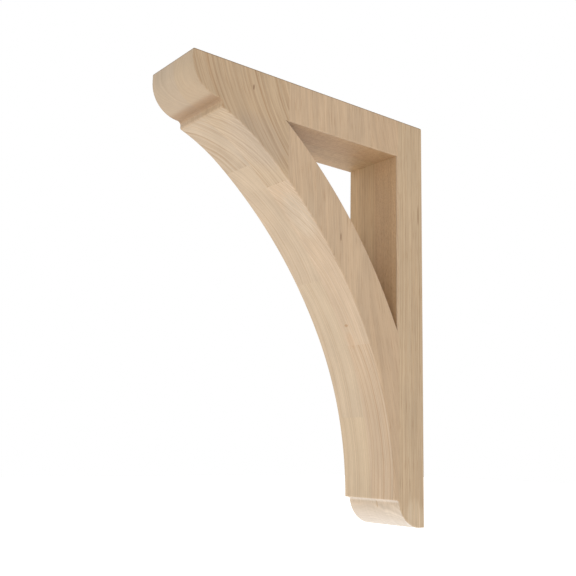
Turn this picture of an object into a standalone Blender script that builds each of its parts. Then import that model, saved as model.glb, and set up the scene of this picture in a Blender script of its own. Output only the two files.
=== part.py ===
"""Wooden corbel bracket: an arm, a leg and a curved brace, sawn as one from a glued-up block of rubberwood.

Frame: metres, +Z up. The back face lies in the plane Y = 0 and faces +Y, towards the wall that carries
the bracket. The nose reaches out along -Y, X runs across the width, and the origin is at the middle of
the back face.
"""
import math

import bmesh
import bpy

# Driving dimensions, in metres and degrees

HEIGHT = 0.3556          # top of the arm to the bottom of the leg
REACH = 0.2453           # wall to the front of the nose
WIDTH = 0.0611           # across the bracket

ARM = 0.0335             # thickness of the arm, above the window
LEG = 0.0321             # thickness of the leg, behind the window
BRACE = 0.0355           # thickness of the curved brace, square to its curve

NOSE_FLAT = 0.0074       # upright face at the nose, above its round
NOSE_ROUND = 0.0254      # radius of the quarter round under the nose
NOSE_LENGTH = 0.0269     # front of the nose back to its step
NOSE_STEP = 0.0063       # how far the brace stands below the nose's round
FOOT_FLAT = 0.0056       # level face at the foot, from the wall to its round
FOOT_ROUND = 0.0254      # radius of the quarter round at the foot
FOOT_HEIGHT = 0.0233     # underside of the foot up to its ledge
FOOT_STEP = 0.0051       # how far the brace stands in front of the foot's round
COVE = 0.0032            # radius of the hollow where a round meets its step

ARCH_RADII = (0.3046, 0.3912, 0.1482)   # the arch's three tangent arcs, from the foot to the nose
ARCH_TURNS = (26.2, 26.2, 17.1)         # how many degrees each of them turns through

CORNER = 0.0015          # rounding of the top's front and back corners
ARRIS = 0.0010           # easing of the long edges around both sides
ARRIS_SEGMENTS = 2
FLATNESS = 0.00003       # most that a chord may stand off its arc
TINY = 0.000001          # points nearer than this are one point

WOOD_COLOUR = (0.55, 0.38, 0.24, 1.0)
WOOD_ROUGHNESS = 0.62


def arc_angles(radius, start, end):
    """Evenly spaced angles along an arc, ends included, as many as its flatness asks for."""
    step = 2 * math.acos(1 - FLATNESS / radius)
    count = max(2, math.ceil(abs(end - start) / step))
    return [start + (end - start) * i / count for i in range(count + 1)]


def arc(centre, radius, start, end):
    """Points of a circular arc in the Y-Z plane, from one angle to another."""
    angles = arc_angles(radius, start, end)
    return [(centre[0] + radius * math.cos(a), centre[1] + radius * math.sin(a)) for a in angles]


def moulded_end(flat, radius, length, step):
    """Section of one moulded end: flat face, quarter round, cove and step.

    The first coordinate runs from the arm's top, or the leg's back, to the step's outer corner, and the
    second one from the end of the piece towards the brace. The flat face lies on the second one's zero.
    """
    cove = min(COVE, step)
    gap = length - radius
    if gap >= cove:
        # the step stands well back, and a short straight land runs up to the cove
        round_end = 0.0
        cove_centre = (flat + radius + cove, length - cove)
    else:
        # the cove touches the round itself and is tangent to the step
        along = gap - cove
        across = math.sqrt((radius + cove) ** 2 - along ** 2)
        cove_centre = (flat + across, radius + along)
        round_end = math.atan2(along, across)
    rounded = arc((flat, radius), radius, -math.pi / 2, round_end)
    hollow = arc(cove_centre, cove, round_end - math.pi, -3 * math.pi / 2)
    corner = (flat + radius + step, length)
    return rounded + hollow + [corner]


def foot_outline():
    """The leg's lower end, from the back's bottom corner to the ledge's outer corner."""
    section = moulded_end(FOOT_FLAT, FOOT_ROUND, FOOT_HEIGHT, FOOT_STEP)
    return [(0.0, 0.0)] + [(-out, up) for out, up in section]


def nose_outline():
    """The arm's outer end, from the step's corner up to the front of the nose."""
    section = moulded_end(NOSE_FLAT, NOSE_ROUND, NOSE_LENGTH, NOSE_STEP)
    return [(back - REACH, HEIGHT - down) for down, back in reversed(section)]


def top_outline():
    """The flat top, from its rounded front corner to its rounded back corner at the wall."""
    front = arc((CORNER - REACH, HEIGHT - CORNER), CORNER, math.pi, math.pi / 2)
    back = arc((-CORNER, HEIGHT - CORNER), CORNER, math.pi / 2, 0.0)
    return front + back


def arch():
    """Points of the three-centred arch with their unit normals, from the ledge up to the nose's step.

    It starts upright. The three arcs are drawn at their own radii, and the whole curve is then stretched
    along Y and Z by the little that brings its end to the step's corner.
    """
    course = []
    y, z, turned = 0.0, 0.0, 0.0
    for radius, turn in zip(ARCH_RADII, ARCH_TURNS):
        centre = (y - radius * math.cos(turned), z - radius * math.sin(turned))
        for angle in arc_angles(radius, turned, turned + math.radians(turn)):
            y = centre[0] + radius * math.cos(angle)
            z = centre[1] + radius * math.sin(angle)
            course.append((y, z, angle))
        turned += math.radians(turn)
    foot = foot_outline()[-1]
    nose = nose_outline()[0]
    stretch_y = (nose[0] - foot[0]) / y
    stretch_z = (nose[1] - foot[1]) / z
    points = []
    for y, z, angle in course:
        normal = (stretch_z * math.cos(angle), stretch_y * math.sin(angle))
        length = math.hypot(*normal)
        place = (foot[0] + stretch_y * y, foot[1] + stretch_z * z)
        points.append((place, (normal[0] / length, normal[1] / length)))
    return points


def outer_outline():
    """The bracket's outer outline: foot, arch, nose, and back along the top to the wall."""
    curve = [place for place, _ in arch()]
    return foot_outline() + curve[1:-1] + nose_outline() + top_outline()


def meet(a, b, axis, value):
    """Where the line from a to b reaches a value of one of its two coordinates."""
    share = (value - a[axis]) / (b[axis] - a[axis])
    return (a[0] + share * (b[0] - a[0]), a[1] + share * (b[1] - a[1]))


def window_outline():
    """The opening: the leg's face, the arm's underside, and the arch moved in by the brace's thickness."""
    arm_line = HEIGHT - ARM
    curve = [(p[0] + BRACE * n[0], p[1] + BRACE * n[1]) for p, n in arch()]
    shown = [i for i, (y, z) in enumerate(curve) if y < -LEG and z < arm_line]
    first, last = shown[0], shown[-1]
    low = meet(curve[first - 1], curve[first], 0, -LEG)
    high = meet(curve[last], curve[last + 1], 1, arm_line)
    return [low] + curve[first:last + 1] + [high, (-LEG, arm_line)]


def without_repeats(points):
    """The same closed outline with no two neighbouring points in one place."""
    kept = []
    for point in points:
        if not kept or math.dist(point, kept[-1]) > TINY:
            kept.append(point)
    if math.dist(kept[0], kept[-1]) <= TINY:
        kept.pop()
    return kept


def add_outline(curve, outline):
    """Adds a closed outline to a flat curve, with the bracket's mid-height on the curve's own origin."""
    points = without_repeats(outline)
    spline = curve.splines.new("POLY")
    spline.points.add(len(points) - 1)
    for point, (y, z) in zip(spline.points, points):
        point.co = (y, z - HEIGHT / 2, 0.0, 1.0)
    spline.use_cyclic_u = True


def wood():
    """Pale sanded rubberwood with no finish on it."""
    material = bpy.data.materials.new("rubberwood")
    material.use_nodes = True
    shader = material.node_tree.nodes["Principled BSDF"]
    shader.inputs["Base Color"].default_value = WOOD_COLOUR
    shader.inputs["Roughness"].default_value = WOOD_ROUGHNESS
    shader.inputs["Metallic"].default_value = 0.0
    material.diffuse_color = WOOD_COLOUR
    return material


def mark_side_edges(mesh):
    """Gives the long edges around both sides, window included, their full bevel weight."""
    bm = bmesh.new()
    bm.from_mesh(mesh)
    bmesh.ops.remove_doubles(bm, verts=bm.verts, dist=TINY)
    bmesh.ops.recalc_face_normals(bm, faces=bm.faces)
    weight = bm.edges.layers.float.new("bevel_weight_edge")
    for edge in bm.edges:
        on_side = [abs(face.normal.z) > 0.9 for face in edge.link_faces]
        edge[weight] = 1.0 if sorted(on_side) == [False, True] else 0.0
    bm.to_mesh(mesh)
    bm.free()


def make_bracket(collection):
    """The sawn block: the outline with its window, as thick as the bracket is wide, long edges eased."""
    curve = bpy.data.curves.new("bracket_outline", "CURVE")
    curve.dimensions = "2D"
    curve.fill_mode = "BOTH"
    curve.extrude = WIDTH / 2
    add_outline(curve, outer_outline())
    add_outline(curve, window_outline())
    flat = bpy.data.objects.new("bracket_outline", curve)
    collection.objects.link(flat)
    # the outline's own plane stands up along Y and Z, and its thickness runs along X
    flat.rotation_euler = (math.pi / 2, 0.0, math.pi / 2)
    bpy.context.view_layer.update()

    mesh = bpy.data.meshes.new_from_object(flat.evaluated_get(bpy.context.evaluated_depsgraph_get()))
    mesh.name = "bracket"
    mark_side_edges(mesh)
    mesh.shade_smooth()
    mesh.set_sharp_from_angle(angle=math.radians(30))
    bracket = bpy.data.objects.new("bracket", mesh)
    bracket.matrix_world = flat.matrix_world.copy()
    collection.objects.link(bracket)
    bpy.data.objects.remove(flat)
    mesh.materials.clear()
    mesh.materials.append(wood())

    easing = bracket.modifiers.new("eased edges", "BEVEL")
    easing.limit_method = "WEIGHT"
    easing.width = ARRIS
    easing.segments = ARRIS_SEGMENTS
    return bracket


def main():
    for old in list(bpy.data.objects):
        bpy.data.objects.remove(old)
    collection = bpy.data.collections.new("corbel bracket")
    bpy.context.scene.collection.children.link(collection)
    make_bracket(collection)


main()
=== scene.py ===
# %% [markdown]
# # A wooden corbel bracket, step by step
#
# The real thing is a shelf bracket: an arm, a leg and a curved brace, sawn as one from a block of pale
# rubberwood staves that are glued side by side, then sanded and left without any finish. This script
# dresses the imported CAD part. It builds the bracket once more as a fine mesh, gives it a solid wood that
# runs right through the block, and lights it softly in front of a white ground.

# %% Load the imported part
import math
from collections import namedtuple

import bmesh
import bpy
import numpy as np
from mathutils import Matrix, Vector


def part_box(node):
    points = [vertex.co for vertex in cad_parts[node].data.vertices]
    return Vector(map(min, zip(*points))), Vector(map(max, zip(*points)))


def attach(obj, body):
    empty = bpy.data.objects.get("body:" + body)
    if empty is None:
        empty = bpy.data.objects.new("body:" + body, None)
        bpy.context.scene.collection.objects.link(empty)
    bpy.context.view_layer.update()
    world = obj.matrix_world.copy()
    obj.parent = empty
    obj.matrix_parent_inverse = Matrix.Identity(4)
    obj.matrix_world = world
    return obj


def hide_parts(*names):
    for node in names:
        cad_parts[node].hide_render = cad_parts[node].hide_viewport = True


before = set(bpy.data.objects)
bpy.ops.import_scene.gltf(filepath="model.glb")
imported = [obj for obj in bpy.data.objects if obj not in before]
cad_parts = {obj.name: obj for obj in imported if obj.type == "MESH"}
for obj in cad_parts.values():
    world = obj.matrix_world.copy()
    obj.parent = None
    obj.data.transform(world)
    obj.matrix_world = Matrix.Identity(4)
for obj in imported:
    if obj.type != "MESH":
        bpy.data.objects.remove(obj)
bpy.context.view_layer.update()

NODE = "bracket"
lowest, highest = (np.array(corner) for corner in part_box(NODE))
print("The CAD solid, in mm:", np.round((highest - lowest) * 1000, 1))

# %% [markdown]
# ## Sizes
#
# They are the sizes that the bracket was sawn to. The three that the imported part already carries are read
# from its box, so the mesh can never grow away from it. The back face stands in the plane Y = 0, the nose
# reaches out along -Y, and the origin is at the middle of the back face.

# %% Sizes in metres
WIDTH, REACH, HEIGHT = highest - lowest

ARM = 0.0335             # thickness of the arm, above the window
LEG = 0.0321             # thickness of the leg, behind the window
BRACE = 0.0355           # thickness of the curved brace, square to its curve
NOSE_FLAT = 0.0074       # upright face at the nose, above its round
NOSE_LENGTH = 0.0269     # front of the nose back to its step
NOSE_STEP = 0.0063       # how far the brace stands below the nose's round
FOOT_FLAT = 0.0056       # level face at the foot, from the wall to its round
FOOT_HEIGHT = 0.0233     # underside of the foot up to its ledge
FOOT_STEP = 0.0051       # how far the brace stands in front of the foot's round
ROUND = 0.0254           # radius of both quarter rounds, cut with a one-inch cutter
COVE = 0.0032            # radius of the hollow where a round meets its step
CORNER = 0.0015          # rounding of the top's front and back corners
ARRIS = 0.0010           # sanded easing of every long edge
FOOT_LIP = 0.0010        # how far the corner at the foot's ledge is worn
NOSE_LIP = 0.0012        # the same at the nose's step
ARCH_RADII = np.array((0.3046, 0.3912, 0.1482))  # radii of the arch's three arcs, from the foot upwards
ARCH_TURNS = np.radians((26.2, 26.2, 17.1))      # how far each of them turns
print("Arm, leg and brace, in mm:", [round(size * 1000, 1) for size in (ARM, LEG, BRACE)])

# %% [markdown]
# ## The outline
#
# A corbel like this is drawn with a compass: the nose and the foot are quarter rounds that end in a little
# hollow, and the arch is three arcs that run smoothly into each other. Tracing it by hand with a spline
# would be quicker to try, but arcs keep the true radii and can be drawn as fine as wanted.

# %% Arcs and moulded ends
FINE = math.radians(3)   # one point every so many degrees on the small rounds


def arc(centre, radius, start, end, step=FINE):
    """Circular arc: centre plus radius times (cosine, sine) of evenly spaced angles from start to end."""
    angles = np.linspace(start, end, 1 + math.ceil(abs(end - start) / step))
    return np.column_stack([centre[0] + radius * np.cos(angles), centre[1] + radius * np.sin(angles)])


def moulded_end(flat, length, step):
    """Section of a moulded end: a flat, a quarter round, then a hollow arc tangent to the round and the step.

    The hollow's centre is one round's radius plus one cove's radius away from the round's own centre, and
    one cove's radius short of the step.
    """
    along = length - ROUND - COVE
    across = math.sqrt((ROUND + COVE) ** 2 - along ** 2)
    turn = math.atan2(along, across)
    quarter = arc((flat, ROUND), ROUND, -math.pi / 2, turn)
    hollow = arc((flat + across, ROUND + along), COVE, turn - math.pi, -1.5 * math.pi)
    return np.vstack([quarter, hollow[1:], [(flat + ROUND + step, length)]])


foot = moulded_end(FOOT_FLAT, FOOT_HEIGHT, FOOT_STEP) * (-1, 1) - (0, HEIGHT / 2)
nose = moulded_end(NOSE_FLAT, NOSE_LENGTH, NOSE_STEP)[::-1, ::-1] * (1, -1) + (-REACH, HEIGHT / 2)
print("Foot's ledge at", np.round(foot[-1] * 1000, 1), "mm")
print("Nose's step at", np.round(nose[0] * 1000, 1), "mm")

# %% [markdown]
# ## The arch
#
# The curved brace keeps its thickness from end to end, so the window's long side is the arch itself, moved
# in square to its own direction. The corners where the arch meets the foot's ledge and the nose's step are
# a little worn by the sanding. That is one line of pixels in the picture, but it catches the light of the
# floor, and a sharp corner there would look like plastic.

# %% The arch, its worn corners and the window's curve
ARCH_STEP = math.radians(0.5)                    # one point every so many degrees on the arch


def arch_course():
    """Three tangent arcs and their unit normals.

    Each arc's centre is the last one's end, less its own radius times the normal there, and it turns on from
    the last one's angle.
    """
    places, normals, turned, end = [], [], 0.0, np.zeros(2)
    for radius, turn in zip(ARCH_RADII, ARCH_TURNS):
        centre = end - radius * np.array((math.cos(turned), math.sin(turned)))
        piece = arc(centre, radius, turned, turned + turn, ARCH_STEP)
        first = 1 if places else 0               # an arc starts where the last one has ended
        places.append(piece[first:])
        normals.append((piece[first:] - centre) / radius)
        end, turned = piece[-1], turned + turn
    return np.vstack(places), np.vstack(normals)


def eased(before, corner, after, size, count=6):
    """A worn corner: (1 - t) squared times A, plus 2 t (1 - t) times the corner, plus t squared times B.

    A and B lie `size` before and after the corner, and t runs from 0 to 1.
    """
    t = np.linspace(0, 1, count)[:, None]
    a = corner + size * (before - corner) / np.linalg.norm(before - corner)
    b = corner + size * (after - corner) / np.linalg.norm(after - corner)
    return (1 - t) ** 2 * a + 2 * t * (1 - t) * corner + t ** 2 * b


course, normal = arch_course()
stretch = (nose[0] - foot[-1]) / course[-1]      # the little that brings its end to the nose's step
arch = foot[-1] + course * stretch
normal = normal * stretch[::-1]
normal /= np.linalg.norm(normal, axis=1)[:, None]
inner = arch + BRACE * normal                    # the same curve, moved in by the brace's thickness

ledge_corner = eased(foot[-2], foot[-1], arch[1], FOOT_LIP)
step_corner = eased(arch[-2], nose[0], nose[1], NOSE_LIP)
worn_arch = np.vstack([ledge_corner[-1], arch[1:-1], step_corner[0]])
ARM_LINE, LEG_LINE = HEIGHT / 2 - ARM, -LEG


def crossing(curve, axis, value):
    """The point where a curve reaches a value of one coordinate, straight between its two nearest points."""
    order = np.argsort(curve[:, axis])
    other = np.interp(value, curve[order, axis], curve[order, 1 - axis])
    return np.array((value, other) if axis == 0 else (other, value))


low_tip, high_tip = crossing(inner, 0, LEG_LINE), crossing(inner, 1, ARM_LINE)
in_window = (inner[:, 0] < LEG_LINE) & (inner[:, 1] < ARM_LINE)
window_curve = np.vstack([low_tip, inner[in_window], high_tip])
print("Window's tips at", np.round(low_tip * 1000, 1), "and", np.round(high_tip * 1000, 1), "mm")

# %% [markdown]
# ## The bracket as one bent ring
#
# A plate with one hole is a ring, like a bent picture frame. So its surface can be written with two
# parameters: `u` runs once round the ring, and `v` runs once round the limb's own section, a rectangle
# with eased corners that reaches from the outer outline to the window. Extruding a filled curve gives the
# same shape, but its side faces come out as one huge polygon. The ring gives them an even grid instead, and
# the eased edges come with it.
#
# Both outlines are first cut into matching stretches: foot, arch, nose, top and back outside, and the
# window's tips and three sides inside.

# %% Matching points on the outline and on the window
TOP_POINTS, BACK_POINTS = 60, 90                 # along the top and the back, one every four millimetres
CORNER_STEP = math.radians(15)                   # one point every so many degrees on the top's corners


def spread(points, count):
    """A polyline drawn again with `count` points at even distances along it."""
    far = np.concatenate([[0], np.cumsum(np.linalg.norm(np.diff(points, axis=0), axis=1))])
    at = np.linspace(0, far[-1], count)
    return np.column_stack([np.interp(at, far, points[:, k]) for k in (0, 1)])


def matched(points, count):
    """`count` points at even steps of a polyline's own index, so its arcs stay as fine as they were drawn."""
    at = np.linspace(0, len(points) - 1, count)
    return np.column_stack([np.interp(at, np.arange(len(points)), points[:, k]) for k in (0, 1)])


half = HEIGHT / 2
back_bottom = np.array((0.0, -half))
front_corner = arc((CORNER - REACH, half - CORNER), CORNER, math.pi, math.pi / 2, CORNER_STEP)
back_corner = arc((-CORNER, half - CORNER), CORNER, math.pi / 2, 0, CORNER_STEP)
window_corner = np.array((LEG_LINE, ARM_LINE))

top_run = spread(np.vstack([front_corner[-1], back_corner[0]]), TOP_POINTS)
back_run = spread(np.vstack([back_corner[-1], back_bottom]), BACK_POINTS)


def outline(ledge, brace, step):
    """The six stretches of the outer outline, with the given corners at the ledge and the step."""
    return [np.vstack([back_bottom, foot[:-1], ledge]), brace, np.vstack([step, nose[1:], front_corner]),
            top_run, back_corner, back_run]


worn = outline(ledge_corner, worn_arch, step_corner)
sharp = outline(np.repeat(foot[-1:], len(ledge_corner), 0), arch, np.repeat(nose[:1], len(step_corner), 0))
hole = [
    np.repeat(low_tip[None], len(worn[0]), 0),
    matched(window_curve, len(arch)),
    np.repeat(high_tip[None], len(worn[2]), 0),
    spread(np.vstack([high_tip, window_corner]), len(top_run)),
    np.repeat(window_corner[None], len(back_corner), 0),
    spread(np.vstack([window_corner, low_tip]), len(back_run)),
]
# each stretch ends where the next one starts, so its last point is left to the next
outside, outside_sharp, inside = (np.vstack([run[:-1] for run in runs]) for runs in (worn, sharp, hole))
print(len(outside), "points round the ring")

# %% [markdown]
# ## Eased edges
#
# Every long edge was run over with sandpaper, which leaves it a millimetre round. In the grid the flat side
# begins a little inside the outlines, and the easing bridges the gap. So both outlines are needed once more,
# moved into the wood by the same distance everywhere. A Bevel modifier would be quicker to add, but it can
# fold over itself in the window's narrow tips.

# %% Moving an outline in by the easing
SUPPORT = 1.4                                    # where the flat side begins, in easings from the outline
SAME = 1e-7                                      # points closer than this, in metres, are one


def inset(ring, distance, side):
    """A closed outline moved sideways: each corner goes along the bisector of its two edges' normals.

    The move is longer where the edges meet at an angle, so both edges move by the same distance. `side` is 1
    where the wood lies to the left of the direction of travel, and -1 where it lies to the right. Points
    that repeat a place, where a stretch stands still at a corner, share that corner's move.
    """
    distinct = np.linalg.norm(ring - np.roll(ring, 1, axis=0), axis=1) > SAME
    index = np.cumsum(distinct) - 1
    corners = ring[distinct]
    index[index < 0] = len(corners) - 1
    ahead = np.roll(corners, -1, axis=0) - corners
    ahead /= np.linalg.norm(ahead, axis=1)[:, None]
    left = np.column_stack([-ahead[:, 1], ahead[:, 0]]) * side
    before = np.roll(left, 1, axis=0)
    bisector = left + before
    bisector /= 1 + np.sum(left * before, axis=1)[:, None]
    return bisector[index] * distance


# the worn corners are smaller than this step inwards, so it starts from the sharp ones and cannot fold over
side_outside = outside_sharp + inset(outside_sharp, SUPPORT * ARRIS, -1)
side_inside = inside + inset(inside, SUPPORT * ARRIS, 1)
print("The flat sides begin", round(SUPPORT * ARRIS * 1000, 1), "mm from the outlines")

# %% [markdown]
# ## The limb's section
#
# Arm, leg and brace all have the same kind of section: a rectangle with eased corners, one side on the outer
# outline and the other on the window. A curve with a bevel profile could carry a fixed section along, but
# this one changes its width all the way round the ring. So its points are blended between the two outlines,
# each as one array for the whole ring.

# %% The limb's section, carried round the ring
SIDE_STEPS, WALL_STEPS, ARRIS_STEPS = 8, 6, 4    # faces across a flat side, a wall and an easing
EASED = np.linspace(0, math.pi / 2, ARRIS_STEPS + 1)


def limb(u_outside, u_inside, u_side_outside, u_side_inside):
    """Points (u, v) of the bracket, an array of shape (points round the ring, points round the section, 3).

    Side faces: a straight blend between the two side outlines, at X = half the width. Eased edges: from the
    outline towards the side outline by easing times (1 - sin t), at X = half width - easing times
    (1 - cos t), for t from 0 to 90 degrees. Walls: straight across at the outline itself.
    """
    half_width = WIDTH / 2
    rows = []                                    # each is (X, outside or inside point of every u)

    def add(x, place):
        rows.append(np.column_stack([np.full(len(place), x), place]))

    def side(x, from_ring, to_ring):
        for share in np.linspace(0, 1, SIDE_STEPS + 1):
            add(x, from_ring * (1 - share) + to_ring * share)

    def edge(sign, ring, side_ring, angles):
        for t in angles:
            share = (1 - math.sin(t)) / SUPPORT
            add(sign * (half_width - ARRIS * (1 - math.cos(t))), ring * (1 - share) + side_ring * share)

    def wall(sign, ring):
        inner_x = half_width - SUPPORT * ARRIS
        for x in np.linspace(inner_x, -inner_x, WALL_STEPS + 1):
            add(sign * x, ring)

    side(half_width, u_side_outside, u_side_inside)
    edge(1, u_inside, u_side_inside, EASED)
    wall(1, u_inside)
    edge(-1, u_inside, u_side_inside, EASED[::-1])
    side(-half_width, u_side_inside, u_side_outside)
    edge(-1, u_outside, u_side_outside, EASED)
    wall(-1, u_outside)
    edge(1, u_outside, u_side_outside, EASED[::-1])
    return np.stack(rows, axis=1)


surface = limb(outside, inside, side_outside, side_inside)
print("Grid of the ring:", surface.shape[0], "by", surface.shape[1])

# %% [markdown]
# ## From the grid to a mesh
#
# The grid closes on itself both ways, so the bracket's skin has no open edge. At the window's corners the
# ring stands still, and the points that fall together there are merged. The mesh also notes which of its
# points lie on the window's walls, for the material to read. Selecting those faces by hand would give the
# same, but not after a size has changed.

# %% From the grid to a mesh
TINY = 1e-6                                      # points closer than this, in metres, are merged
SHARP_FROM = math.radians(28)                    # an edge is sharp where its faces turn by more than this


def ring_mesh(name, grid):
    """A mesh over a grid that closes both ways: each quad joins point (u, v) to the next in v and in u."""
    count_u, count_v = grid.shape[:2]
    index = np.arange(count_u * count_v).reshape(count_u, count_v)
    right, up = np.roll(index, -1, axis=0), np.roll(index, -1, axis=1)
    quads = np.stack([index, up, np.roll(up, -1, axis=0), right], axis=-1).reshape(-1, 4)
    mesh = bpy.data.meshes.new(name)
    mesh.from_pydata(grid.reshape(-1, 3), [], quads)
    return mesh


mesh = ring_mesh("corbel_bracket", surface)
window_rows = SIDE_STEPS + ARRIS_STEPS + 2       # the section's points before its wall towards the window
in_wall = np.zeros(surface.shape[:2])
in_wall[:, window_rows:window_rows + WALL_STEPS + 1] = 1.0
mesh.attributes.new("window_wall", "FLOAT", "POINT").data.foreach_set("value", in_wall.ravel())

bm = bmesh.new()
bm.from_mesh(mesh)
# the ring stands still at the window's corners, so its grid lines meet there and are joined
bmesh.ops.remove_doubles(bm, verts=bm.verts, dist=TINY)
bmesh.ops.dissolve_degenerate(bm, edges=bm.edges, dist=TINY)
bmesh.ops.recalc_face_normals(bm, faces=bm.faces)
open_edges = sum(not edge.is_manifold for edge in bm.edges)
print("Open edges:", open_edges, " volume in cm3:", round(bm.calc_volume() * 1e6, 2),
      " triangles:", sum(len(face.verts) - 2 for face in bm.faces))
bm.to_mesh(mesh)
bm.free()
mesh.shade_smooth()
mesh.set_sharp_from_angle(angle=SHARP_FROM)
bracket = bpy.data.objects.new("corbel_bracket", mesh)
bpy.context.scene.collection.objects.link(bracket)
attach(bracket, "root")
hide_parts(NODE)

# %% [markdown]
# ## Rubberwood
#
# Rubberwood comes from plantation trees that give no wide boards, so the block was glued up: boards stand
# edge to edge from the nose to the wall, in two layers across the width, and every board has its grain
# upright. One flat image wrapped round the shape would show its seams and could not turn the corners. So
# the wood is solid instead: a colour is worked out for every point in space, and each face shows the
# figure that a saw would find there, stripes on one face and arched lines on the next.

# %% Helpers for materials


def linear(code):
    """An sRGB hex colour as the linear RGBA that Blender's sockets take."""
    srgb = np.array([int(code[i:i + 2], 16) for i in (1, 3, 5)]) / 255
    light = np.where(srgb <= 0.04045, srgb / 12.92, ((srgb + 0.055) / 1.055) ** 2.4)
    return (*light, 1.0)


def add_node(tree, kind, inputs=None, **settings):
    """Adds a shader node with its settings. An input is a value or the socket that feeds it.

    Map Range takes its value as input 0, the range it comes from as 1 and 2, and the one it goes to as 3 and
    4. Mix takes its share as input 0, two numbers as 2 and 3, or two colours as 6 and 7.
    """
    node = tree.nodes.new("ShaderNode" + kind)
    for name, value in settings.items():
        setattr(node, name, value)
    for key, value in (inputs or {}).items():
        if isinstance(value, bpy.types.NodeSocket):
            tree.links.new(value, node.inputs[key])
        else:
            node.inputs[key].default_value = value
    return node


print("The sRGB grey #808080 in linear light:", round(linear("#808080")[0], 3))

# %% [markdown]
# ## Places in millimetres
#
# Boards, rings and fibres have real sizes, so the material first turns the piece's own coordinates into
# millimetres. They belong to the piece, so the wood stays in it wherever it is shown. A UV map would have
# to be unwrapped, and would tear the figure at its seams. The normal tells which way a face looks: its X is
# 1 on the near side, and its Z is -1 where a face looks down.

# %% Millimetres, and the way a face looks
wood = bpy.data.materials.new("rubberwood_sanded")
wood.use_nodes = True
tree = wood.node_tree
shader = tree.nodes["Principled BSDF"]

place = add_node(tree, "TexCoord").outputs
in_mm = add_node(tree, "VectorMath", {0: place["Object"], "Scale": 1000.0}, operation="SCALE").outputs[0]
axes = add_node(tree, "SeparateXYZ", {0: in_mm}).outputs
x, y, z = axes[0], axes[1], axes[2]
facing = add_node(tree, "SeparateXYZ", {0: place["Normal"]}).outputs
print("Nodes so far:", len(tree.nodes))

# %% [markdown]
# ## The glued boards
#
# Every board came from another plank, so each has its own tone and its own rings. Here they are one small
# table. A pith far off along Y gives upright stripes on the side face, one far off along X gives stripes on
# the arch instead, and a near one gives arched lines. An image of each board could hold more detail, but
# these few numbers steer the whole figure and stay easy to change.

# %% The boards, from the nose to the wall
Board = namedtuple("Board", "edge tint strength pith lean ring")
# edge: Y of the front edge. strength: how clearly the rings show. pith: X and Y of the tree's centre as seen
# from above. lean: how far the grain moves along Y for each unit of height. ring: width of a year's ring.
# Lengths are in millimetres.
NEAR_BOARDS = [
    Board(-250.0, "#AE9577", 0.82, (-80, -60), 0.37, 2.9),
    Board(-154.5, "#B2987B", 0.11, (-61, -75), 0.05, 2.8),
    Board(-65.0, "#B19678", 0.20, (-72, -54), 0.20, 3.4),
    Board(-30.5, "#B0987A", 0.90, (10, 90), 0.00, 2.6),
]
FAR_BOARDS = [
    Board(-250.0, "#AC957A", 1.00, (-76, -157), 0.00, 6.2),
    Board(-172.0, "#AF977B", 0.10, (-80, -120), 0.10, 6.0),
    Board(-95.0, "#B29A7D", 0.10, (-120, -70), 0.05, 5.0),
    Board(-44.6, "#B49B7C", 0.08, (-120, -40), 0.00, 5.0),
    Board(-30.5, "#B19678", 0.50, (-20, 100), 0.00, 3.0),
]
LAYER_LINE = 2.5         # X of the glue line between the two layers, in mm
LEG_LAYER_LINE = 10.5    # the same in the leg, whose boards were cut differently
LEG_EDGE = -30.5         # Y of the leg's own glue line
print(len(NEAR_BOARDS), "boards in the near layer,", len(FAR_BOARDS), "in the far one")

# %% [markdown]
# ## Looking a board up
#
# The glued joints are upright, so Y tells which board a point lies in, and X tells its layer. A stepped
# colour ramp can hold such a list. Each layer gets two: the first gives the tone and, as alpha, how strongly
# the figure shows, and the second gives the board's place in its tree. With one material per board the mesh
# would have to be cut along every joint.

# %% Which board a point lies in
RAMP_LENGTH = 250.0      # the boards' edges are looked up over this length, in mm
PITH_RANGE, LEAN_RANGE, RING_RANGE = 400.0, 4.0, 10.0    # these bring the numbers into 0 to 1

along_boards = add_node(tree, "Math", {0: y, 1: 1 / RAMP_LENGTH, 2: 1.0}, operation="MULTIPLY_ADD").outputs[0]


def lookup(boards, colours):
    """A stepped colour ramp along Y that changes at each board's front edge."""
    ramp = add_node(tree, "ValToRGB", {0: along_boards})
    ramp.color_ramp.interpolation = "CONSTANT"
    elements = ramp.color_ramp.elements
    while len(elements) < len(boards):
        elements.new(0.5)
    for element, board, colour in zip(elements, boards, colours):
        element.position = board.edge / RAMP_LENGTH + 1
        element.color = colour
    return ramp.outputs


def tints(boards):
    """The boards' colours, with the strength of the figure as alpha."""
    return lookup(boards, [(*linear(board.tint)[:3], board.strength) for board in boards])


def figures(boards):
    """Pith X, pith Y, lean and ring width of the boards, each brought into 0 to 1."""
    return lookup(boards, [(board.pith[0] / PITH_RANGE + 0.5, board.pith[1] / PITH_RANGE + 0.5,
                            board.lean / LEAN_RANGE + 0.5, board.ring / RING_RANGE) for board in boards])


in_leg = add_node(tree, "Math", {0: y, 1: LEG_EDGE}, operation="GREATER_THAN").outputs[0]
line_x = add_node(tree, "MapRange", {0: in_leg, 3: LAYER_LINE, 4: LEG_LAYER_LINE}).outputs[0]
is_near = add_node(tree, "Math", {0: x, 1: line_x}, operation="GREATER_THAN").outputs[0]

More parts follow.
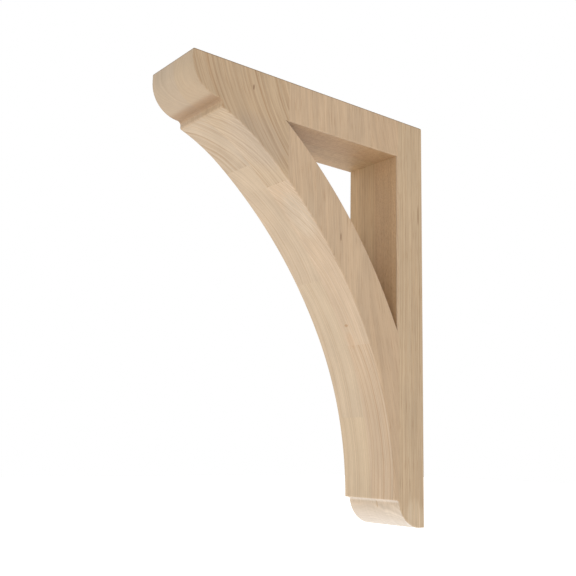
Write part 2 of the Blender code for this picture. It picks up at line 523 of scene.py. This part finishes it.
far_tint, near_tint = tints(FAR_BOARDS), tints(NEAR_BOARDS)
far_figure, near_figure = figures(FAR_BOARDS), figures(NEAR_BOARDS)
tint = add_node(tree, "Mix", {0: is_near, 6: far_tint[0], 7: near_tint[0]}, data_type="RGBA").outputs[2]
strength = add_node(tree, "Mix", {0: is_near, 2: far_tint[1], 3: near_tint[1]}).outputs[0]
figure = add_node(tree, "Mix", {0: is_near, 6: far_figure[0], 7: near_figure[0]}, data_type="RGBA").outputs[2]
ring = add_node(tree, "Mix", {0: is_near, 2: far_figure[1], 3: near_figure[1]}).outputs[0]
ring = add_node(tree, "Math", {0: ring, 1: RING_RANGE}, operation="MULTIPLY").outputs[0]
figure = add_node(tree, "VectorMath", {0: figure, 1: (PITH_RANGE, PITH_RANGE, LEAN_RANGE),
                                       2: (-PITH_RANGE / 2, -PITH_RANGE / 2, -LEAN_RANGE / 2)},
                  operation="MULTIPLY_ADD").outputs[0]
pith_x, pith_y, lean = add_node(tree, "SeparateXYZ", {0: figure}).outputs
print("Nodes after the boards:", len(tree.nodes))

# %% [markdown]
# ## The lie of the grain
#
# Boards are seldom sawn quite along the tree. The lean shears a board's own Y with height, as if it had been
# cut a little askew from the log. Towards the nose the grain also sweeps, as it does near a branch. Straight
# grain would be simpler, but then the streaks on the side could not fan out towards the nose.

# %% Lean and sweep
SWEEP = 0.0127                       # strength of the sweep, per mm
SWEEP_TOP, SWEEP_END = 163.0, 90.0   # heights where it turns and where it ends
ALONG_GRAIN = 0.26                   # Z is squeezed by this, which draws slow patterns out along the grain

swept = add_node(tree, "Math", {0: z, 1: SWEEP_END}, operation="MAXIMUM").outputs[0]
swept = add_node(tree, "Math", {0: swept, 1: SWEEP_TOP}, operation="SUBTRACT").outputs[0]
swept = add_node(tree, "Math", {0: swept, 1: swept}, operation="MULTIPLY").outputs[0]
swept = add_node(tree, "Math", {0: swept, 1: -SWEEP, 2: z}, operation="MULTIPLY_ADD").outputs[0]
leaned = add_node(tree, "Math", {0: lean, 1: swept, 2: y}, operation="MULTIPLY_ADD").outputs[0]
long_z = add_node(tree, "Math", {0: z, 1: ALONG_GRAIN}, operation="MULTIPLY").outputs[0]
slow_place = add_node(tree, "CombineXYZ", {0: x, 1: leaned, 2: long_z}).outputs[0]
print("Full sweep in mm of height:", round(SWEEP * (SWEEP_TOP - SWEEP_END) ** 2, 1))

# %% [markdown]
# ## Growth rings
#
# A tree's rings are tubes round its pith, so a ring is found from the distance to the pith, seen from
# above. A slow noise lets the rings wander. A second one, read along the distance itself, makes some rings
# darker than others and their spacing uneven, as dry and wet years do. Evenly spaced lines would look
# printed. Within a year the wood darkens slowly and then stops at once, so each line is soft on one side
# and crisp on the other.

# %% Distance to the pith, and the rings along it
WANDER, WANDER_SIZE = 4.0, 40.0      # how far the rings stray, and over what length across the grain, in mm
WEATHER, UNEVEN = 0.6, 1.8           # changes of weather in a year, and how far they move a ring, in years
DARKENS, DARKEST = 0.25, 0.85        # the parts of a year at which the wood begins to darken and is darkest
PALEST_YEAR = 0.15                   # what the palest year keeps of a ring
FADE_SIZE, FADED = 22.0, 0.3         # size of the patches where the figure fades, in mm, and what they keep

wander = add_node(tree, "TexNoise", {"Vector": slow_place, "Scale": 1 / WANDER_SIZE,
                                     "Detail": 3.0}).outputs[0]
from_above = add_node(tree, "CombineXYZ", {0: x, 1: leaned}).outputs[0]
pith = add_node(tree, "CombineXYZ", {0: pith_x, 1: pith_y}).outputs[0]
distance = add_node(tree, "VectorMath", {0: from_above, 1: pith}, operation="DISTANCE").outputs["Value"]
distance = add_node(tree, "Math", {0: wander, 1: 2 * WANDER, 2: distance},
                    operation="MULTIPLY_ADD").outputs[0]

years = add_node(tree, "Math", {0: distance, 1: ring}, operation="DIVIDE").outputs[0]
weather = add_node(tree, "TexNoise", {"W": years, "Scale": WEATHER, "Detail": 3.0},
                   noise_dimensions="1D").outputs[0]
uneven = add_node(tree, "Math", {0: weather, 1: UNEVEN, 2: years}, operation="MULTIPLY_ADD").outputs[0]
part_of_year = add_node(tree, "Math", {0: uneven}, operation="FRACT").outputs[0]
growing = add_node(tree, "MapRange", {0: part_of_year, 1: DARKENS, 2: DARKEST},
                   interpolation_type="SMOOTHSTEP").outputs[0]
ending = add_node(tree, "MapRange", {0: part_of_year, 1: 1.0, 2: DARKEST},
                  interpolation_type="SMOOTHSTEP").outputs[0]
dryness = add_node(tree, "MapRange", {0: weather, 1: 0.3, 2: 0.7, 3: PALEST_YEAR, 4: 1.0}).outputs[0]
fading = add_node(tree, "TexNoise", {"Vector": slow_place, "Scale": 1 / FADE_SIZE, "Detail": 2.0}).outputs[0]
fading = add_node(tree, "MapRange", {0: fading, 1: 0.3, 2: 0.6, 3: FADED, 4: 1.0}).outputs[0]
rings = growing
for factor in (ending, dryness, fading, strength):
    rings = add_node(tree, "Math", {0: rings, 1: factor}, operation="MULTIPLY").outputs[0]
widths = [board.ring for board in NEAR_BOARDS + FAR_BOARDS]
print("A year's ring is", min(widths), "to", max(widths), "mm wide")

# %% [markdown]
# ## Where the figure is clearer or fainter
#
# The same rings look different on each face. Along the arch the cutter brought them out, and on the round
# front of the nose the sanding has almost taken them away. Which way a face looks tells the moulded faces
# apart, and the mesh carries its own mark for the window's walls. Painted masks would do as well, but these
# keep working when a size changes.

# %% Masks for the faces, and the figure on each
ARCH_GAIN = 3.5                      # how much clearer it is on the arch than on the sides
UPPER_GAIN = 0.0                     # the same on the boards nearest the nose, where it is clear already
NOSE_GAIN = -0.8                     # and on the front of the nose
UPPER_JOINT, JOINT_SOFT = -154.5, 0.1    # Y of the joint behind those boards, and how soft it is, in mm
NOSE_START, NOSE_SOFT = -217.0, 3.0      # the same for the place where the nose starts
FULL_SIDE = 0.9                      # the squared X of its normal from which a face counts as a side
BACK_BEGINS, BACK_FULL = 0.1, 0.5    # Y of its normal where a face begins to count as the back, and does

sideways = add_node(tree, "Math", {0: facing[0], 1: facing[0]}, operation="MULTIPLY").outputs[0]
window_wall = add_node(tree, "Attribute", attribute_name="window_wall").outputs["Fac"]
moulded = add_node(tree, "MapRange", {0: sideways, 1: 0.0, 2: FULL_SIDE, 3: 1.0, 4: 0.0}).outputs[0]
moulded = add_node(tree, "Math", {0: moulded, 1: window_wall}, operation="SUBTRACT",
                   use_clamp=True).outputs[0]
not_back = add_node(tree, "MapRange", {0: facing[1], 1: BACK_FULL, 2: BACK_BEGINS}).outputs[0]
moulded = add_node(tree, "Math", {0: moulded, 1: not_back}, operation="MULTIPLY").outputs[0]
in_nose = add_node(tree, "MapRange", {0: y, 1: NOSE_START + NOSE_SOFT, 2: NOSE_START - NOSE_SOFT}).outputs[0]
nose_front = add_node(tree, "Math", {0: in_nose, 1: moulded}, operation="MULTIPLY").outputs[0]

gain = add_node(tree, "MapRange", {0: y, 1: UPPER_JOINT - JOINT_SOFT, 2: UPPER_JOINT,
                                   3: UPPER_GAIN, 4: ARCH_GAIN}).outputs[0]
gain = add_node(tree, "MapRange", {0: in_nose, 3: gain, 4: NOSE_GAIN}).outputs[0]
gain = add_node(tree, "Math", {0: gain, 1: moulded, 2: 1.0}, operation="MULTIPLY_ADD").outputs[0]
rings = add_node(tree, "Math", {0: rings, 1: gain}, operation="MULTIPLY").outputs[0]
print("Nodes up to the rings:", len(tree.nodes))

# %% [markdown]
# ## Fibres, pores and clouds
#
# Between the rings the wood is never flat: bundles of fibres make fine upright streaks, open vessels make
# short dark dashes, and the tone drifts slowly from place to place. Each is a noise that is squeezed across
# the grain and drawn out along it. A fibre bundle is about a tenth of a millimetre wide, which this
# picture cannot show, so the streaks are drawn coarser, as wide as one pixel. Fine lines run with the rings
# as well. Those come from the distance to the pith, so they turn every corner together with the rings.

# %% Streaks, dashes and slow tones
FIBRE, FIBRE_STRETCH = 0.8, 0.016    # width of a streak in mm, and how much Z is squeezed for it
LINE = 1.5                           # distance between the fine lines that run with the rings, in mm
PORE, PORE_STRETCH = 0.5, 0.03       # width of a vessel's dash in mm, drawn about three times too wide
PORE_RIM, PORE_CORE = 0.58, 0.78     # levels of its noise where a dash begins and where it is full
CLOUD = 16.0                         # size of the slow changes of tone, in mm


def streaks(width, squeeze):
    """A noise of the given width in mm across the grain, drawn out along it."""
    long = add_node(tree, "Math", {0: z, 1: squeeze}, operation="MULTIPLY").outputs[0]
    where = add_node(tree, "CombineXYZ", {0: x, 1: leaned, 2: long}).outputs[0]
    return add_node(tree, "TexNoise", {"Vector": where, "Scale": 1 / width, "Detail": 1.0}).outputs[0]


fibres = streaks(FIBRE, FIBRE_STRETCH)
dashes = streaks(PORE, PORE_STRETCH)
lines = add_node(tree, "TexNoise", {"W": distance, "Scale": 1 / LINE, "Detail": 2.0},
                 noise_dimensions="1D").outputs[0]
clouds = add_node(tree, "TexNoise", {"Vector": slow_place, "Scale": 1 / CLOUD, "Detail": 3.0}).outputs[0]
print("A streak is about", round(FIBRE / FIBRE_STRETCH), "mm long, a dash", round(PORE / PORE_STRETCH), "mm")

# %% [markdown]
# ## Colour
#
# Late wood and vessels have no colour of their own here. Each multiplies the board's tone, as more or less
# stained wood would, so every board keeps its own hue. Mixing towards one fixed brown would make the boards
# alike. Fibres that are cut at a slant show as specks, and the sanding took most of those off the moulded
# faces, so the streaks and the vessels are fainter there.

# %% The board's tone, its figure and its streaks
RING_SHADE = linear("#DDCCB6")       # what the late wood leaves of the board's colour
PORE_SHADE = linear("#DDCDB7")       # the same for an open vessel
FIBRE_SWING, MOULDED_FIBRES = 0.09, 0.0225   # how far streaks move the tone, on flat and on moulded faces
LINE_SWING, MOULDED_LINES = 0.06, 0.10       # the same for the fine lines
NOSE_LINES = 0.05                    # and for the fine lines on the front of the nose
MOULDED_PORES = 0.3                  # how much of the vessels the moulded faces show
DARK_CLOUD = 0.86                    # the lowest tone between the clouds
LOW, HIGH = 0.25, 0.75               # nearly all values of a noise lie between these
SHADING = {"data_type": "RGBA", "blend_type": "MULTIPLY"}    # a Mix that multiplies one colour by another

pore_depth = add_node(tree, "MapRange", {0: moulded, 3: 1.0, 4: MOULDED_PORES}).outputs[0]
pores = add_node(tree, "MapRange", {0: dashes, 1: PORE_RIM, 2: PORE_CORE, 4: pore_depth}).outputs[0]
fibre_swing = add_node(tree, "MapRange", {0: moulded, 3: FIBRE_SWING, 4: MOULDED_FIBRES}).outputs[0]
line_swing = add_node(tree, "MapRange", {0: moulded, 3: LINE_SWING, 4: MOULDED_LINES}).outputs[0]
line_swing = add_node(tree, "MapRange", {0: nose_front, 3: line_swing, 4: NOSE_LINES}).outputs[0]
tone = add_node(tree, "MapRange", {0: clouds, 1: LOW, 2: HIGH, 3: DARK_CLOUD, 4: 1.0}).outputs[0]
for streak, swing in ((fibres, fibre_swing), (lines, line_swing)):
    level = add_node(tree, "MapRange", {0: streak, 1: LOW, 2: HIGH, 3: -1.0, 4: 1.0}).outputs[0]
    level = add_node(tree, "Math", {0: level, 1: swing, 2: 1.0}, operation="MULTIPLY_ADD").outputs[0]
    tone = add_node(tree, "Math", {0: tone, 1: level}, operation="MULTIPLY").outputs[0]
colour = tint
for share, shade in ((rings, RING_SHADE), (pores, PORE_SHADE)):
    colour = add_node(tree, "Mix", {0: share, 6: colour, 7: shade}, **SHADING).outputs[2]
colour = add_node(tree, "VectorMath", {0: colour, "Scale": tone}, operation="SCALE").outputs[0]
print("Late wood keeps", np.round(RING_SHADE[:3], 2), "of red, green and blue")

# %% [markdown]
# ## Top and window
#
# The top is end grain, open fibre ends that are a little browner, and it is painted much darker still as a
# painted shade, as if less light fell on it from above. From the side it shows as a thin dark line along the
# top edge. The walls of the window were sawn and hardly sanded, so they show the saw's fine lines, and they
# are painted warmer than the sides, a painted glow of the light that the wood throws back inside the window.
# Under the arm the wood is end grain again, with blotches, and it is painted darker there as a painted shade.
# A second material could do all this, but the border would cut the grain in two.

# %% Painted shade and end grain on top, and the window's walls with their painted glow
PAINTED_TOP_SHADE = linear("#B9AB9B")            # painted shade over the end grain: what the top keeps of the colour
TOP_START, TOP_SOFT = 176.0, 0.5         # Z of the top's eased edge, and over what height it sets in, in mm
TOP_BEGINS, TOP_FULL = 0.02, 0.3         # Z of its normal where a face begins to count as the top, and does
WINDOW_PAINTED_GLOW = (1.08, 1.01, 0.88, 1)      # painted glow of light thrown back inside the window: its walls against the sides, in red, green and blue
CROSS_LINE = 3.0                         # distance between the fine lines of sawing and sanding, in mm
WALL_LINE_SHADE = (0.91, 0.89, 0.86, 1)  # what such a line leaves of the window's walls
LINE_RIM, LINE_CORE = 0.5, 0.65          # levels of its noise where a line begins and where it is full
ARM_PAINTED_SHADE = (0.87, 0.84, 0.80, 1)        # painted shade under the arm: what the window walls' colour keeps there
ARM_BEGINS, ARM_FULL = -0.6, -0.95       # Z of the normal where the arm's underside, its end grain and its painted shade, begins and is full
BLOTCH, BLOTCH_SHADE = 4.0, (0.88, 0.85, 0.82, 1)    # size of its blotches in mm, and what they keep
BLOTCH_RIM, BLOTCH_CORE = 0.4, 0.65      # levels of their noise where they begin and where they are full

at_top = add_node(tree, "MapRange", {0: z, 1: TOP_START, 2: TOP_START + TOP_SOFT}).outputs[0]
top_shade_share = add_node(tree, "MapRange", {0: facing[2], 1: TOP_BEGINS, 2: TOP_FULL, 4: at_top}).outputs[0]
cross_lines = add_node(tree, "TexNoise", {"W": x, "Scale": 1 / CROSS_LINE, "Detail": 3.0},
                       noise_dimensions="1D").outputs[0]
wall_lines = add_node(tree, "MapRange", {0: cross_lines, 1: LINE_RIM, 2: LINE_CORE,
                                         4: window_wall}).outputs[0]
under_arm = add_node(tree, "MapRange", {0: facing[2], 1: ARM_BEGINS, 2: ARM_FULL, 4: window_wall}).outputs[0]
blotches = add_node(tree, "TexNoise", {"Vector": in_mm, "Scale": 1 / BLOTCH, "Detail": 4.0}).outputs[0]
blotches = add_node(tree, "MapRange", {0: blotches, 1: BLOTCH_RIM, 2: BLOTCH_CORE,
                                       4: under_arm}).outputs[0]
# painted shade on top and under the arm, and a painted glow on the window's walls, with the real saw lines
# and blotches
for share, shade in ((top_shade_share, PAINTED_TOP_SHADE), (window_wall, WINDOW_PAINTED_GLOW), (wall_lines, WALL_LINE_SHADE),
                     (under_arm, ARM_PAINTED_SHADE), (blotches, BLOTCH_SHADE)):
    colour = add_node(tree, "Mix", {0: share, 6: colour, 7: shade}, **SHADING).outputs[2]
print("Top keeps", np.round(PAINTED_TOP_SHADE[:3], 2), "of red, green and blue")

# %% [markdown]
# ## Arch and foot
#
# The moulded faces, arch, nose and foot, are painted paler and cooler than the sides, a painted sheen of the
# white light round them. On the near half of the arch the sanding left fine pale lines that run along it. The
# foot's round was sanded until its boards can hardly be told apart, so its colour is mixed towards one tone,
# and that tone is painted palest where it looks down, a painted reflection of the floor below. Paler paint on
# top would hide the grain, and this keeps a fifth of it.

# %% The sanded faces, with their painted sheen and painted reflection
PAINTED_SHEEN_TONE = (1.00, 1.045, 1.11, 1)    # painted sheen: the moulded faces against the sides
SCRATCH_TONE = (1.07, 1.08, 1.11, 1)     # the pale lines on the arch
SCRATCH_CORE = 0.62                      # level of the noise where such a line is full
FOOT_TOP, FOOT_SOFT = -153.5, 1.5        # Z by the ledge where the foot's tone begins, and how softly, in mm
FOOT_SHARE = 0.8                         # how much of the boards' own colour the sanding took from the foot
FOOT_HIGH, FOOT_PAINTED_REFLECTION = linear("#B4A28D"), linear("#BDB3A8")   # the foot where it looks forward, and its painted reflection of the floor where it looks down
FOOT_TURNS, FOOT_TURNED = -0.2, -0.9     # Z of the normal where the forward tone ends and where the painted reflection is full
FOOT_DARK, FOOT_PALE = 0.92, 1.03        # tones of the foot between its fine lines and on them

on_arch = add_node(tree, "Math", {0: moulded, 1: nose_front}, operation="SUBTRACT").outputs[0]
near_arch = add_node(tree, "Math", {0: on_arch, 1: is_near}, operation="MULTIPLY").outputs[0]
scratches = add_node(tree, "MapRange", {0: cross_lines, 1: LINE_RIM, 2: SCRATCH_CORE,
                                        4: near_arch}).outputs[0]
# painted sheen on the moulded faces, and the real pale lines on the arch
for share, shade in ((moulded, PAINTED_SHEEN_TONE), (scratches, SCRATCH_TONE)):
    colour = add_node(tree, "Mix", {0: share, 6: colour, 7: shade}, **SHADING).outputs[2]

in_foot = add_node(tree, "MapRange", {0: z, 1: FOOT_TOP, 2: FOOT_TOP - FOOT_SOFT, 4: FOOT_SHARE}).outputs[0]
round_foot = add_node(tree, "Math", {0: in_foot, 1: moulded}, operation="MULTIPLY").outputs[0]
# painted reflection of the floor: the foot's sanded tone turns paler where its round looks down
reflection_share = add_node(tree, "MapRange", {0: facing[2], 1: FOOT_TURNS, 2: FOOT_TURNED}).outputs[0]
sanded = add_node(tree, "Mix", {0: reflection_share, 6: FOOT_HIGH, 7: FOOT_PAINTED_REFLECTION}, data_type="RGBA").outputs[2]
foot_tone = add_node(tree, "MapRange", {0: cross_lines, 1: 0.3, 2: 0.7,
                                        3: FOOT_DARK, 4: FOOT_PALE}).outputs[0]
foot_tone = add_node(tree, "Math", {0: foot_tone, 1: tone}, operation="MULTIPLY").outputs[0]
sanded = add_node(tree, "VectorMath", {0: sanded, "Scale": foot_tone}, operation="SCALE").outputs[0]
colour = add_node(tree, "Mix", {0: round_foot, 6: colour, 7: sanded}, data_type="RGBA").outputs[2]
print("Nodes after the sanded faces:", len(tree.nodes))

# %% [markdown]
# ## Dust and marks
#
# The hollow under the nose is painted darker, a painted shade where the nose hangs over it, and the nose's
# round is painted darker where it turns down. Two dark flecks, a curl, a pin knot with its stain, a dash, and
# a few paler or greyer patches break the even figure, and a warmer patch on the step under the nose is
# painted light that lifts the nose's shade there. The marks and the hollow's shade are each an ellipsoid in
# the block, so each shows on whichever face it reaches, and its soft rim comes from a smooth step of the
# distance to its middle. Small decals would need a place on the surface, while an ellipsoid only needs a
# point.

# %% Painted shade in the hollow and under the nose, and marks in the wood
HOLLOW_PAINTED_SHADE = linear("#E4D4C2")           # painted shade in the hollow: what it leaves of the colour under it
NOSE_PAINTED_SHADE = (0.86, 0.84, 0.82, 1)       # painted shade: the nose's round keeps less of its colour where it turns down
NOSE_TURNS, NOSE_TURNED = -0.3, -0.95    # Z of the normal where that begins, and is full
ENDLESS = 1e6                            # a half size that reaches right through the width, in mm
MARK_CORE, HOLLOW_SHADE_CORE = 0.5, 0.4          # the parts of their sizes at which marks and the hollow's painted shade are full

# where each is, its half sizes, both in millimetres, and what it does to red, green and blue
MARKS = {
    "fleck in the nose": ((30.5, -189.6, 162.7), (3.0, 0.7, 3.0), (0.36, 0.24, 0.15)),
    "fleck in the brace": ((30.5, -97.8, 58.9), (3.0, 0.7, 4.2), (0.45, 0.34, 0.22)),
    "curl in the leg": ((30.5, -5.5, 95.0), (4.0, 0.8, 12.0), (0.5, 0.4, 0.26)),
    "pin knot": ((10.0, -72.5, -10.0), (2.8, 3.0, 1.4), (0.78, 0.66, 0.52)),
    "stain under the knot": ((9.0, -66.0, -22.0), (5.0, 9.0, 10.0), (0.98, 0.93, 0.88)),
    "dash in the foot": ((4.0, -30.0, -158.5), (0.9, 3.0, 4.5), (0.80, 0.71, 0.60)),
    "pale patch on the arch": ((18.0, -133.0, 72.0), (17.0, 24.0, 32.0), (1.02, 1.07, 1.13)),
    "grey patch below the nose": ((30.0, -188.0, 118.0), (40.0, 40.0, 30.0), (0.92, 0.94, 1.0)),
    # painted light: the step wall under the nose, which lies in the nose's shade, made warmer and lighter
    "painted light on the step under the nose": ((0.0, -218.4, 141.0), (ENDLESS, 2.0, 4.5), (1.05, 1.01, 0.96)),
    "pale patch on the foot's side": ((30.5, -12.0, -168.0), (5.0, 14.0, 18.0), (1.13, 1.19, 1.28)),
}
HOLLOW = ((0.0, -221.0, 146.0), (ENDLESS, 10.0, 4.5))    # middle and half sizes of the hollow's painted shade


def ellipsoid(centre, half_size, full, peak):
    """A mask that is 0 at an ellipsoid's surface and rises smoothly to its peak at a part `full` of its size.

    How far out a point lies is the length of its offset from the centre, with each axis divided by the
    ellipsoid's half size.
    """
    offset = add_node(tree, "VectorMath", {0: in_mm, 1: centre}, operation="SUBTRACT").outputs[0]
    offset = add_node(tree, "VectorMath", {0: offset, 1: half_size}, operation="DIVIDE").outputs[0]
    away = add_node(tree, "VectorMath", {0: offset}, operation="LENGTH").outputs["Value"]
    return add_node(tree, "MapRange", {0: away, 1: 1.0, 2: full, 4: peak},
                    interpolation_type="SMOOTHSTEP").outputs[0]


# painted shade on the nose's round where it looks down
shade_under_nose = add_node(tree, "MapRange", {0: facing[2], 1: NOSE_TURNS, 2: NOSE_TURNED, 4: in_nose}).outputs[0]
masks = [(ellipsoid(*HOLLOW, HOLLOW_SHADE_CORE, moulded), HOLLOW_PAINTED_SHADE), (shade_under_nose, NOSE_PAINTED_SHADE)]
for centre, half_size, shade in MARKS.values():
    masks.append((ellipsoid(centre, half_size, MARK_CORE, 1.0), (*shade, 1)))
for share, shade in masks:
    colour = add_node(tree, "Mix", {0: share, 6: colour, 7: shade}, **SHADING).outputs[2]
tree.links.new(colour, shader.inputs["Base Color"])
print(len(MARKS), "marks:", ", ".join(MARKS))

# %% [markdown]
# ## Surface
#
# Bare wood that was sanded and left without any finish is a dull insulator: it reflects a few hundredths
# of the light straight on, and more where it is seen at a low angle. An index of refraction of 1.5 and a
# roughness of 0.6 spread that thin sheen so wide that the eye sees a matt, slightly dusty surface with no
# highlight. The fibres stand up by a few hundredths of a millimetre, which a bump is fine enough for.

# %% Sheen and relief
ROUGHNESS, REFRACTION = 0.6, 1.5
RELIEF, RELIEF_STRENGTH = 0.0002, 0.25   # height of the fibres' relief in metres, and how much of it is used
PORE_DEPTH = -0.6                        # how far a vessel is sunk, as a part of that height

shader.inputs["IOR"].default_value = REFRACTION
shader.inputs["Roughness"].default_value = ROUGHNESS
relief = add_node(tree, "Math", {0: pores, 1: PORE_DEPTH, 2: fibres}, operation="MULTIPLY_ADD").outputs[0]
bump = add_node(tree, "Bump", {"Height": relief, "Strength": RELIEF_STRENGTH, "Distance": RELIEF}).outputs[0]
tree.links.new(bump, shader.inputs["Normal"])
bracket.data.materials.append(wood)
print("Nodes in the wood:", len(tree.nodes), " full relief in mm:", RELIEF * RELIEF_STRENGTH * 1000)

# %% [markdown]
# ## Floor
#
# The bracket is shown hanging free in front of white. A large pale sheet well below it throws light up
# under the arch, the nose and the foot, as a white table does, and it glows just enough for its far edge
# to be lost against the white room. With a seamless curved backdrop the light from below would be weaker.
# It is matt white paper, so rough that no shine shows on it.

# %% Floor
FLOOR_DROP, FLOOR_REACH = 0.20, 6.0  # how far below the bracket, and how far to each side, in metres
FLOOR_GLOW = 0.68                    # strength of its own light, where the room has 1
PAPER_WHITE, PAPER_ROUGHNESS = linear("#F4F3F0"), 0.9

floor_z = -HEIGHT / 2 - FLOOR_DROP
corners = [(-FLOOR_REACH, -FLOOR_REACH, floor_z), (FLOOR_REACH, -FLOOR_REACH, floor_z),
           (FLOOR_REACH, FLOOR_REACH, floor_z), (-FLOOR_REACH, FLOOR_REACH, floor_z)]
flat = bpy.data.meshes.new("floor")
flat.from_pydata(corners, [], [(0, 1, 2, 3)])
sheet = bpy.data.objects.new("floor", flat)
bpy.context.scene.collection.objects.link(sheet)

paper = bpy.data.materials.new("matt_white_floor")
paper.use_nodes = True
paper_inputs = paper.node_tree.nodes["Principled BSDF"].inputs
paper_inputs["Base Color"].default_value = PAPER_WHITE
paper_inputs["Roughness"].default_value = PAPER_ROUGHNESS
paper_inputs["Emission Color"].default_value = (1, 1, 1, 1)
paper_inputs["Emission Strength"].default_value = FLOOR_GLOW
flat.materials.append(paper)
print("Floor at Z =", round(floor_z, 3), "m")

# %% [markdown]
# ## Light
#
# The picture has no cast shadow and no clear direction of light, so an even white room gives most of it.
# One low softbox under the front lifts the arch a little. A room full of lamps would come to the same,
# with more noise.

# %% Light
ROOM_LIGHT = 1.0                     # the least at which the white ground stays white
SOFTBOX_SIZE, SOFTBOX_POWER = 0.35, 0.4      # its side in metres, and its power in watts
SOFTBOX_PLACE, SOFTBOX_TARGET = Vector((-0.04, -0.12, -0.37)), Vector((-0.02, -0.06, 0))     # in metres

world = bpy.data.worlds.new("white_room")
bpy.context.scene.world = world
world.use_nodes = True
world.node_tree.nodes["Background"].inputs["Color"].default_value = (1, 1, 1, 1)
world.node_tree.nodes["Background"].inputs["Strength"].default_value = ROOM_LIGHT
bpy.context.scene.view_settings.view_transform = "Standard"

lamp = bpy.data.lights.new("low_softbox", "AREA")
lamp.shape, lamp.size, lamp.energy = "SQUARE", SOFTBOX_SIZE, SOFTBOX_POWER
softbox = bpy.data.objects.new("low_softbox", lamp)
aim = (SOFTBOX_TARGET - SOFTBOX_PLACE).to_track_quat("-Z", "Y").to_matrix().to_4x4()
softbox.matrix_world = Matrix.Translation(SOFTBOX_PLACE) @ aim
bpy.context.scene.collection.objects.link(softbox)
print("Room light", ROOM_LIGHT, " softbox", SOFTBOX_POWER, "W")

# %% [markdown]
# ## Camera
#
# The camera stands to the right of the nose, a little above the foot, and looks slightly up. Its place,
# turn and focal length were worked out from the bracket's own edges in the picture, by fitting the known
# outline to them, which is exact where placing it by eye would leave the arch a few pixels off. The small
# shift says that the line of sight does not meet the middle of the picture.

# %% Camera
FRAME = 576                          # the photograph's width and height in pixels
FOCAL = 840.43                       # focal length in those pixels
YAW, PITCH, ROLL = np.radians((51.665, 9.399, 1.061))        # turned to the left, raised and tilted
STAND = Vector((0.53215, -0.54737, 0.06423 - HEIGHT / 2))    # its height is counted from the foot upwards
CENTRE = (289.17, 309.44)            # where the line of sight meets the picture

forward = Vector((-math.sin(YAW) * math.cos(PITCH), math.cos(YAW) * math.cos(PITCH), math.sin(PITCH)))
level_right = Vector((math.cos(YAW), math.sin(YAW), 0.0))
level_up = level_right.cross(forward)
right = math.cos(ROLL) * level_right + math.sin(ROLL) * level_up
up = -math.sin(ROLL) * level_right + math.cos(ROLL) * level_up

lens = bpy.data.cameras.new("camera")
lens.sensor_width = 36.0             # in millimetres, as the focal length will be
lens.lens = FOCAL * lens.sensor_width / FRAME
lens.shift_x = (FRAME / 2 - CENTRE[0]) / FRAME
lens.shift_y = (CENTRE[1] - FRAME / 2) / FRAME
lens.clip_start = 0.01
camera = bpy.data.objects.new("camera", lens)
camera.matrix_world = Matrix.Translation(STAND) @ Matrix((right, up, -forward)).transposed().to_4x4()
bpy.context.scene.collection.objects.link(camera)
bpy.context.scene.camera = camera
print("Lens in mm:", round(lens.lens, 2), " shift:", round(lens.shift_x, 4), round(lens.shift_y, 4))

# %% [markdown]
# ## Sizes, and the end
#
# The mesh has to be as large as the solid that it dresses, so the boxes of both are written down. Looking at
# one over the other would show a gap only when it is wide.

# %% Sizes, and the end
print("The mesh, in mm:", np.round(np.array(bracket.dimensions) * 1000, 1))
